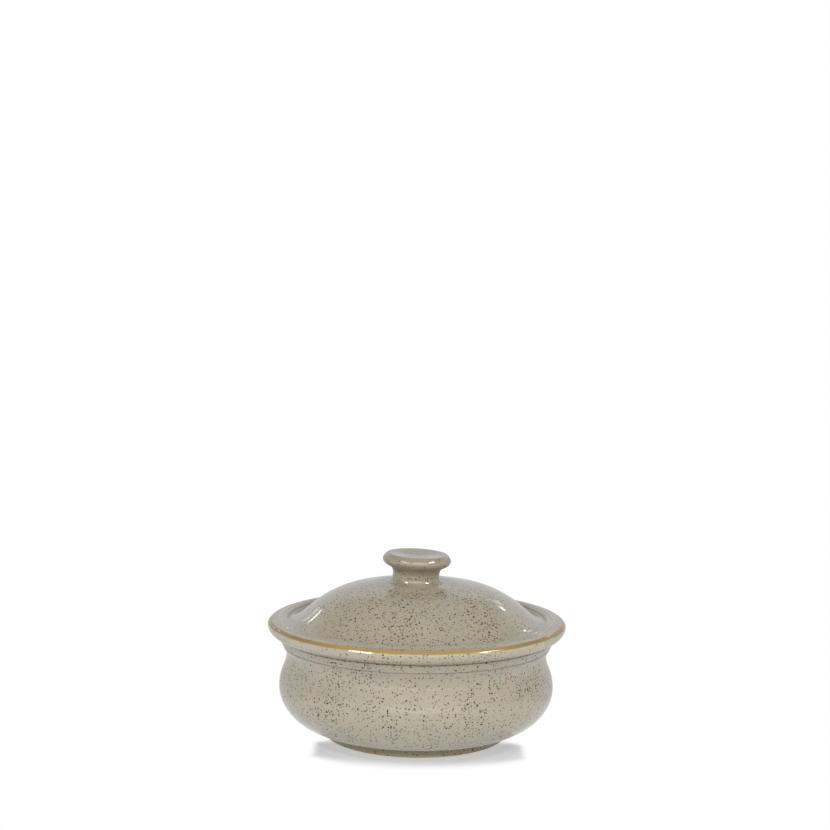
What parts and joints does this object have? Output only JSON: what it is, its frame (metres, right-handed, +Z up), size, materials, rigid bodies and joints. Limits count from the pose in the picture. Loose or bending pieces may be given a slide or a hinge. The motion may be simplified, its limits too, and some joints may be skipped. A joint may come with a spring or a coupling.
{
  "type": "mini casserole dish",
  "caption": "Small round lidded casserole in speckled glazed stoneware, with a footed bowl and a domed lift-off lid that has a waisted knob, for baking and serving a single portion.",
  "frame": {"origin": "middle of the foot ring, on the surface that the dish stands on", "axes": "+Z up along the axis that the dish and lid are turned about, -Y towards the viewer of the picture, +X to that viewer's right"},
  "size_m": [0.1354, 0.1354, 0.0834],
  "materials": {
    "dish_glaze": "gloss",
    "lid_glaze": "gloss",
    "knob_glaze": "gloss"
  },
  "bodies": {
    "dish": {"dish": "dish_glaze"},
    "lid": {"lid": "lid_glaze", "lid_knob": "knob_glaze"}
  },
  "joints": [
    {"name": "lid_lift", "type": "slide", "parent": "dish", "child": "lid", "axis": [0, 0, 1], "range_m": [0, 0.1]}
  ]
}
